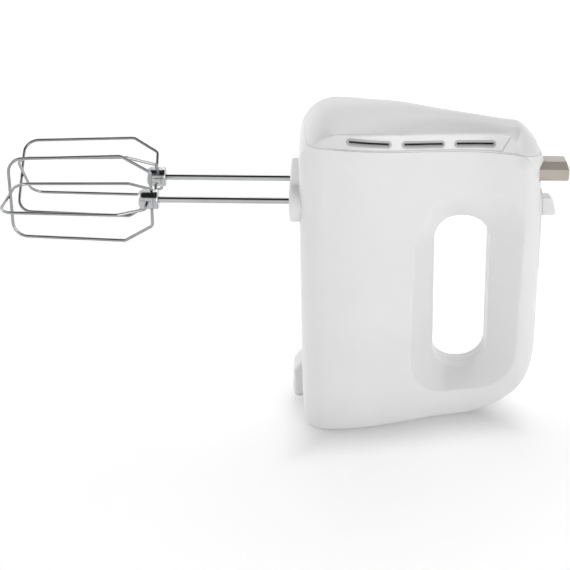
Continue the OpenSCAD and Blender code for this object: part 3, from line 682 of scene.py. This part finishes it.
for half, side in (("near", -1.0), ("far", 1.0)):
    low, high = box_mm("vent_inserts_" + half)
    moulded("vent_rims_" + half, "vent_inserts_" + half, lambda x, y, z, side=side: vent_rims(x, y, z, side),
            low - RIM_ROOM, high + RIM_ROOM, RIM_STEP, RIM)


# ---------------------------------------------------------------- fittings on the housing

def plate(x, y, z):
    """The beaters' socket plate: a rimmed front, a stem through the wall and a flange behind it."""
    face = PLATE_LOW[0]
    stem = both(socket_shape(y, z, *STEM_SIZE), both(face + 2.0 - x, x - PLATE_HIGH[0]))
    front = both(socket_shape(y, z, *FRONT_SIZE), both(face - x, x - UNDERSIDE + 0.1), 1.6)
    back = both(socket_shape(y, z, *BACK_SIZE), both(UNDERSIDE + WALL + 0.2 - x, x - PLATE_HIGH[0]), 0.3)
    rim = both(socket_shape(y, z, *RIM_SIZE), x - face - 0.7, 0.4)
    s = np.minimum(np.minimum(stem, without(front, rim, 0.4)), back)
    for cy in (NEAR_Y, -NEAR_Y):
        r = np.hypot(y - cy, z - AXIS_Z)
        s = either(s, both(both(r - RING_R, face - 0.4 - x, 0.5), x - UNDERSIDE), 0.3)
        flare = np.clip(face + 0.9 - x, 0.0, 1.4)
        s = without(s, np.maximum(r - SOCKET_R - flare, x - SOCKET_END))
        s = without(s, both(r - SEAT_R, SEAT_START - x))
    return s


moulded("socket_plate_shell", "socket_plate", plate, PLATE_LOW - PLATE_ROOM, PLATE_HIGH, PLATE_STEP,
        SHELL)


def strip(x, y, z):
    """The centre strip, with the openings for the button and the slider's track."""
    shell = body(x, y, z)
    s = both(strip_region(x, y, z, 0.0), both(shell - STRIP_OUT, -(shell + STRIP_IN)), 0.4)
    s = without(s, button_way(x, y, z), 0.3)
    _, up = on_face(x, z)
    s = without(s, track_shape(y, up, TRACK_HALF + 0.1, 0.1))
    return both(s, slab_below(x, z), 0.3)


moulded("handle_strip_shell", "handle_strip", strip, STRIP_LOW - ROOM, STRIP_HIGH + ROOM, STRIP_STEP,
        SHELL)


def track(x, y, z):
    """The slider's track plate, whose slot is chamfered at the face."""
    out, up = on_face(x, z)
    s = both(track_shape(y, up, TRACK_HALF), both(-TRACK_IN - out, out - TRACK_OUT), 0.4)
    chamfer = np.clip(out + SLOT_CHAMFER_FROM, 0.0, 1.0) * SLOT_CHAMFER
    return without(s, track_shape(y, up, SLOT_HALF, -SLOT_INSET) - chamfer)


moulded("slider_track_shell", "slider_track", track, TRACK_LOW, TRACK_HIGH, TRACK_STEP, SHELL)

hood_view = outline([(-73.3, 11.0), (-72.0, 9.0), (-62.0, 9.0), (-62.0, 39.0), (-67.1, 35.0), (-73.3, 26.0)],
                    [1.5, 1.0, 0.0, 0.0, 0.6, 4.0])


def hood(x, y, z):
    """The cord outlet's hood, open to the gland's seat and the leads' way."""
    s = both(hood_view(x, z), np.abs(y) - HOOD_HIGH[1], 2.2)
    s = both(s, x - UNDERSIDE + 0.1)
    s = without(s, gland_seat(x, y, z), 0.3)
    return without(s, block(x, y, z, HOOD_LEAD_LOW, LEAD_HIGH))


moulded("cord_outlet_shell", "cord_outlet", hood, HOOD_LOW, HOOD_HIGH, HOOD_STEP, SHELL)


def gland(x, y, z):
    """A ring in the heel's seat with a thinner neck below it, open through the middle for a cord."""
    r = np.hypot(x - GLAND_X, y)
    s = both(r - GLAND_R, both(GLAND_BODY_Z[0] - z, z - GLAND_BODY_Z[1]), 0.4)
    s = either(s, both(r - GLAND_NECK_R, both(GLAND_NECK_Z[0] - z, z - GLAND_NECK_Z[1]), 0.5), 0.4)
    return without(s, r - CORD_R, 0.3)


moulded("cord_gland_ring", "cord_gland", gland, GLAND_LOW, GLAND_HIGH, GLAND_STEP, RUBBER)

# The button's end face, the angle of the slant above it, and the flange that holds it in the handle
BUTTON_FACE = BUTTON_HIGH[0] - 1.2
BUTTON_SLANT, BUTTON_SLANT_Z = 0.35, BUTTON_Z[0] + 7.0
FLANGE_LOW = (BUTTON_LOW[0], -10.2, BUTTON_Z[0] - 1.0)
FLANGE_HIGH = (BUTTON_LOW[0] + 2.0, 10.2, BUTTON_Z[1] + 1.2)
button_side = [(7.6, BUTTON_Z[0]), (BUTTON_HALF, BUTTON_Z[0] + 1.6), (BUTTON_HALF, BUTTON_Z[1] - 4.1),
               (5.2, BUTTON_Z[1])]
button_view = outline([(-7.6, BUTTON_Z[0])] + button_side + [(-y, z) for y, z in button_side[:0:-1]],
                      [0.5] * 8)


def button(x, y, z):
    slant = (x - BUTTON_FACE) * math.cos(BUTTON_SLANT) + (z - BUTTON_SLANT_Z) * math.sin(BUTTON_SLANT)
    tip = np.maximum(x - BUTTON_FACE, slant)
    s = both(button_view(y, z), both(tip, BUTTON_LOW[0] + 1.9 - x), 0.7)
    return either(s, block(x, y, z, FLANGE_LOW, FLANGE_HIGH, 0.3))


moulded("eject_button_cap", "eject_button", button, BUTTON_LOW, BUTTON_HIGH, BUTTON_STEP,
        CHAMPAGNE, "ejector")

thumb_view = outline([(0.35, -5.6), (7.4, -5.9), (8.7, -4.4), (6.9, 3.6), (5.2, 5.6), (0.35, 6.1)],
                     [0.2, 1.2, 1.0, 1.6, 1.6, 0.2])


def thumb(x, y, z):
    """The slider's thumb piece and its stem through the track."""
    out, up = on_face(x, z)
    s = both(thumb_view(out, up), np.abs(y) - THUMB_HALF, 0.8)
    sides = both(np.abs(y) - THUMB_STEM_HALF, np.abs(up) - THUMB_STEM_REACH, 0.3)
    stem = both(both(-THUMB_STEM_IN - out, out - THUMB_STEM_OUT), sides)
    return np.minimum(s, stem)


moulded("speed_slider_thumb", "speed_slider", thumb, SLIDER_LOW - ROOM, SLIDER_HIGH + ROOM, THUMB_STEP,
        SHELL, "slider")


# ---------------------------------------------------------------- beaters

SHARP_ANGLE = 0.6
BEND_ANGLE = 0.05


def turned(angle, points):
    """The points turned about X."""
    c, s = math.cos(angle), math.sin(angle)
    P = np.array(points, float)
    return np.stack([P[:, 0], c * P[:, 1] - s * P[:, 2], s * P[:, 1] + c * P[:, 2]], axis=1)


def mesh_piece(name, node, verts, faces, material, body_name):
    """A piece from vertices and faces in millimetres, smooth except at its sharp edges."""
    mesh = bpy.data.meshes.new(name)
    mesh.from_pydata((np.array(verts) * MM).tolist(), [], faces)
    mesh.validate()
    bm = bmesh.new()
    bm.from_mesh(mesh)
    bmesh.ops.remove_doubles(bm, verts=bm.verts, dist=1e-8)
    bmesh.ops.recalc_face_normals(bm, faces=bm.faces)
    for face in bm.faces:
        face.smooth = True
    for edge in bm.edges:
        edge.smooth = edge.calc_face_angle(0.0) < SHARP_ANGLE
    bm.to_mesh(mesh)
    bm.free()
    mesh.materials.append(material)
    declared(linked(name, mesh), node, body_name)


def rounded_path(corners, radii):
    """A path in a plane through corners, each bent at its radius."""
    P = np.array(corners, float)
    out = [P[0]]
    for i in range(1, len(P) - 1):
        u = (P[i] - P[i - 1]) / np.linalg.norm(P[i] - P[i - 1])
        v = (P[i + 1] - P[i]) / np.linalg.norm(P[i + 1] - P[i])
        turn = math.acos(float(np.clip(u @ v, -1.0, 1.0)))
        side = 1.0 if u[0] * v[1] - u[1] * v[0] > 0 else -1.0
        r = radii[i]
        start = P[i] - u * r * math.tan(turn / 2)
        n = side * np.array([-u[1], u[0]])
        centre = start + r * n
        count = max(2, int(turn / BEND_ANGLE))
        for k in range(count + 1):
            a = turn * k / count
            out.append(centre + r * (-n * math.cos(a) + u * math.sin(a)))
    out.append(P[-1])
    return np.array(out)


def wire(path, r, sides=28):
    """Round wire along a path in the local XY plane, closed by flat caps at both ends."""
    T = np.gradient(path, axis=0)
    T /= np.linalg.norm(T, axis=1)[:, None]
    N = np.stack([-T[:, 1], T[:, 0]], axis=1)
    angles = 2 * np.pi * np.arange(sides) / sides
    verts, faces = [], []
    for p, n in zip(path, N):
        for a in angles:
            verts.append((p[0] + r * math.cos(a) * n[0], p[1] + r * math.cos(a) * n[1], r * math.sin(a)))
    for i in range(len(path) - 1):
        for k in range(sides):
            j = (k + 1) % sides
            faces.append((i * sides + k, (i + 1) * sides + k, (i + 1) * sides + j, i * sides + j))
    for end in (0, len(path) - 1):
        verts.append((*path[end], 0.0))
        c = len(verts) - 1
        for k in range(sides):
            faces.append((end * sides + k, end * sides + (k + 1) % sides, c))
    return verts, faces


def turning(profile, sides=64):
    """Solid of revolution about X from a profile of X and radius that starts and ends on the axis."""
    verts, faces, rings = [], [], []
    for x, r in profile:
        if r <= 0.0:
            rings.append([len(verts)])
            verts.append((x, 0.0, 0.0))
        else:
            rings.append(list(range(len(verts), len(verts) + sides)))
            verts += [(x, r * math.cos(2 * math.pi * k / sides), r * math.sin(2 * math.pi * k / sides))
                      for k in range(sides)]
    for A, B in zip(rings, rings[1:]):
        for k in range(sides):
            j = (k + 1) % sides
            if len(A) == 1:
                faces.append((A[0], B[j], B[k]))
            elif len(B) == 1:
                faces.append((A[k], A[j], B[0]))
            else:
                faces.append((A[k], A[j], B[j], B[k]))
    return verts, faces


# A beater has two loops at right angles. The inner one is a wire's thickness shorter at both ends.
# LOOP_NECK gives the X of the neck and how far from the axis it starts and ends
WIRE_R = 0.95
LOOP_NECK, LOOP_SHOULDER, LOOP_END = (-160.5, 3.0, 17.0), (-175.8, 26.9), (-245.3, 24.5)
LOOP_ROUND = [0.0, 3.0, 4.0, 9.0, 9.0, 4.0, 3.0, 0.0]
FAR_TURN = math.pi / 4


def loop_path(inner):
    step = 2.0 * WIRE_R * inner
    neck = LOOP_NECK[0] + step
    half = [(neck, LOOP_NECK[1]), (neck, LOOP_NECK[2]), LOOP_SHOULDER, (LOOP_END[0] + step, LOOP_END[1])]
    return rounded_path(half + [(x, -y) for x, y in reversed(half)], LOOP_ROUND)


# The collar is turned from bar, with a groove near its end towards the body and a bore for the rod
HUB_BACK, HUB_FRONT = -165.7, -154.1
HUB_R, HUB_GROOVE_R, HUB_BORE_R = 6.05, 5.8, 1.97
HUB_PROFILE = [(HUB_BACK, HUB_BORE_R), (HUB_BACK, 4.9), (HUB_BACK + 0.25, 5.3), (HUB_BACK + 0.9, 5.75),
               (HUB_BACK + 1.7, 6.0), (HUB_BACK + 2.6, HUB_R), (HUB_FRONT - 3.2, HUB_R),
               (HUB_FRONT - 3.0, HUB_GROOVE_R), (HUB_FRONT - 2.4, HUB_GROOVE_R), (HUB_FRONT - 2.2, HUB_R),
               (HUB_FRONT - 0.9, HUB_R), (HUB_FRONT - 0.4, 5.85), (HUB_FRONT, 5.3), (HUB_FRONT, HUB_BORE_R),
               (HUB_BACK, HUB_BORE_R)]

# The rod has a groove for the snap fit in the spindle and a chamfered tip
ROD_R, ROD_SIDES = 1.95, 48
GROOVE_X, GROOVE_R = -37.0, 1.5


def rod_profile(back, front):
    groove = [(GROOVE_X - 0.8, ROD_R), (GROOVE_X - 0.4, 1.62), (GROOVE_X, GROOVE_R),
              (GROOVE_X + 0.4, 1.62), (GROOVE_X + 0.8, ROD_R)]
    return ([(back, 0.0), (back, 1.3), (back + 0.5, ROD_R)] + groove
            + [(front - 0.8, ROD_R), (front - 0.2, 1.5), (front, 0.9), (front, 0.0)])


# The two ears on the rod that stop it from turning in the spindle: X and share of the ears' reach
EAR_SIDE = [(-52.0, 0.0), (-51.2, 0.92), (-50.6, 1.0), (-48.4, 1.0), (-47.6, 0.92), (-47.0, 0.0)]
EAR_HALF = 0.45


def ears(reach):
    """Both ears as one flat closed plate through the rod."""
    side = [(x, share * reach) for x, share in EAR_SIDE]
    ring = side + [(x, -h) for x, h in reversed(side[1:-1])]
    n = len(ring)
    verts = [(x, s * EAR_HALF, h) for s in (-1, 1) for x, h in ring]
    faces = [tuple(range(n - 1, -1, -1)), tuple(range(n, 2 * n))]
    faces += [(k, (k + 1) % n, n + (k + 1) % n, n + k) for k in range(n)]
    return verts, faces


def shifted(points, y):
    """The points moved onto a beater's axis."""
    return np.array(points) + np.array([0.0, y, AXIS_Z])


for half, cy, turn in (("near", NEAR_Y, 0.0), ("far", -NEAR_Y, FAR_TURN)):
    rider = "beater_" + half
    for letter, inner in (("a", 0), ("b", 1)):
        verts, faces = wire(loop_path(inner), WIRE_R)
        verts = shifted(turned(turn + inner * math.pi / 2, verts), cy)
        mesh_piece(f"beater_wire_{letter}_{half}", f"beater_loop_{letter}_{half}", verts, faces,
                   SHADED_WIRE_CHROME, rider)
    verts, faces = turning(HUB_PROFILE)
    mesh_piece(f"beater_hub_{half}", f"beater_collar_{half}", shifted(verts, cy), faces,
               CHROME, rider)
    rod_low, rod_high = box_mm("beater_rod_" + half)
    verts, faces = turning(rod_profile(rod_low[0], rod_high[0]), ROD_SIDES)
    mesh_piece(f"beater_stem_{half}", f"beater_rod_{half}", shifted(verts, cy), faces,
               CHROME, rider)
    verts, faces = ears(rod_high[2] - AXIS_Z)
    fin = bpy.data.meshes.new(f"ear_{half}")
    fin.from_pydata((shifted(verts, cy) * MM).tolist(), [], faces)
    fin.materials.append(CHROME)
    declared(linked(f"beater_ears_{half}", fin), f"beater_rod_{half}", rider)


# ---------------------------------------------------------------- finishes on the carried-over nodes

for row in frame["record"]["subparts"]:
    node = frame["nodes"][row["node"]]
    node.data.materials.clear()
    node.data.materials.append(CAD_LOOKS[row["material_slot"]])


# ---------------------------------------------------------------- studio

# The paper glows a little, but not under the body, which paints a shadow round it. In metres: the body's
# footprint and the edge of the painted shadow
PAPER_GLOW = 0.27
FOOT_HALF, FOOT_TAPER = 0.034, 0.24
FOOT_FRONT, FOOT_BACK = -0.052, 0.05
SHADE_FROM, SHADE_TO = -0.006, 0.034

# The sweep of paper: floor from the front to the bend, the bend's radius and the top of the wall
SWEEP_HALF, SWEEP_FRONT, SWEEP_BEND = 3.0, -1.6, 0.9
BEND_R, BEND_FROM, BEND_POINTS = 0.6, 0.1, 12
SWEEP_TOP = 2.4

# Softboxes: name, place, size, power in watts
AIM = (-0.03, 0.0, 0.1)
LAMPS = [
    ("key", (0.95, -1.15, 0.45), (0.7, 0.8), 5.6),
    ("left", (-1.3, 0.3, 0.3), (0.6, 0.8), 3.0),
    ("back", (0.1, 1.1, 1.5), (1.0, 0.8), 2.5),
]

# The sky is white with one dark patch high up on the camera's side, which the glossy pieces mirror
SKY_STRENGTH = 0.95
CEILING = math.radians(70.0)
CEILING_FROM, CEILING_TO, CEILING_TONE = 0.72, 0.86, 0.03

CAMERA_PLACE = (-0.0565, -0.7554, 0.4237)
CAMERA_TURN = (math.radians(65.65), 0.0, math.radians(1.72))
CAMERA_LENS, CAMERA_SENSOR = 83.0, 36.0


def glow_with_painted_shadow(tree, socket):
    """The paper's glow, faded out under and round the body into a painted shadow."""
    def math_node(kind, first, second=None, third=None):
        node = tree.nodes.new("ShaderNodeMath")
        node.operation = kind
        for slot, value in enumerate((first, second, third)):
            if isinstance(value, float):
                node.inputs[slot].default_value = value
            elif value is not None:
                tree.links.new(value, node.inputs[slot])
        return node.outputs["Value"]

    place = tree.nodes.new("ShaderNodeTexCoord")
    parts = tree.nodes.new("ShaderNodeSeparateXYZ")
    tree.links.new(place.outputs["Object"], parts.inputs["Vector"])
    side = math_node("MULTIPLY_ADD", parts.outputs["X"], FOOT_TAPER, -FOOT_HALF)
    side = math_node("ADD", math_node("ABSOLUTE", parts.outputs["Y"]), side)
    ends = math_node("MAXIMUM", math_node("SUBTRACT", parts.outputs["X"], FOOT_BACK),
                     math_node("SUBTRACT", FOOT_FRONT, parts.outputs["X"]))
    # Painted shadow: the glow rises from nothing at the body's footprint to full strength beyond it
    span = tree.nodes.new("ShaderNodeMapRange")
    span.interpolation_type = "SMOOTHSTEP"
    span.inputs["From Min"].default_value = SHADE_FROM
    span.inputs["From Max"].default_value = SHADE_TO
    span.inputs["To Min"].default_value = 0.0
    span.inputs["To Max"].default_value = PAPER_GLOW
    tree.links.new(math_node("MAXIMUM", side, ends), span.inputs["Value"])
    tree.links.new(span.outputs["Result"], socket)


def floor_and_wall():
    mesh = bpy.data.meshes.new("sweep")
    profile = [(SWEEP_FRONT, 0.0), (SWEEP_BEND, 0.0)]
    for a in np.linspace(BEND_FROM, math.pi / 2, BEND_POINTS):
        profile.append((SWEEP_BEND + BEND_R * math.sin(a), BEND_R - BEND_R * math.cos(a)))
    profile.append((SWEEP_BEND + BEND_R, SWEEP_TOP))
    verts, faces = [], []
    for y, z in profile:
        verts += [(-SWEEP_HALF, y, z), (SWEEP_HALF, y, z)]
    for i in range(len(profile) - 1):
        faces.append((2 * i, 2 * i + 1, 2 * i + 3, 2 * i + 2))
    mesh.from_pydata(verts, [], faces)
    for polygon in mesh.polygons:
        polygon.use_smooth = True
    mat, tree, bsdf = make("paper")
    tinted(tree, bsdf.inputs["Base Color"], (0.93, 0.93, 0.93), (0.95, 0.95, 0.95), 4.0)
    bsdf.inputs["Roughness"].default_value = 0.75
    bsdf.inputs["Emission Color"].default_value = (1.0, 1.0, 1.0, 1.0)
    # Painted shadow: the paper's glow fades out round the body
    glow_with_painted_shadow(tree, bsdf.inputs["Emission Strength"])
    mesh.materials.append(mat)
    linked("sweep", mesh)


def softbox(name, place, size, power):
    lamp = bpy.data.lights.new(name, "AREA")
    lamp.shape = "RECTANGLE"
    lamp.size, lamp.size_y = size
    lamp.energy = power
    lamp.spread = math.pi
    obj = linked(name, lamp)
    obj.location = place
    obj.rotation_euler = (Vector(AIM) - Vector(place)).to_track_quat("-Z", "Y").to_euler()


floor_and_wall()
for lamp_row in LAMPS:
    softbox(*lamp_row)

world = bpy.data.worlds.new("studio")
bpy.context.scene.world = world
world.use_nodes = True
sky = world.node_tree
direction = sky.nodes.new("ShaderNodeTexCoord")
toward = sky.nodes.new("ShaderNodeVectorMath")
toward.operation = "DOT_PRODUCT"
toward.inputs[1].default_value = (0.0, -math.cos(CEILING), math.sin(CEILING))
shade = sky.nodes.new("ShaderNodeValToRGB")
shade.color_ramp.elements[0].position = CEILING_FROM
shade.color_ramp.elements[0].color = (1.0, 1.0, 1.0, 1.0)
shade.color_ramp.elements[1].position = CEILING_TO
shade.color_ramp.elements[1].color = (CEILING_TONE, CEILING_TONE, CEILING_TONE, 1.0)
sky.links.new(direction.outputs["Generated"], toward.inputs[0])
sky.links.new(toward.outputs["Value"], shade.inputs["Fac"])
sky.links.new(shade.outputs["Color"], sky.nodes["Background"].inputs["Color"])
sky.nodes["Background"].inputs["Strength"].default_value = SKY_STRENGTH
bpy.context.scene.view_settings.view_transform = "Standard"
bpy.context.scene.view_settings.look = "None"

camera_data = bpy.data.cameras.new("camera")
camera_data.lens = CAMERA_LENS
camera_data.sensor_width = CAMERA_SENSOR
camera = linked("camera", camera_data)
camera.location = CAMERA_PLACE
camera.rotation_euler = CAMERA_TURN
bpy.context.scene.camera = camera
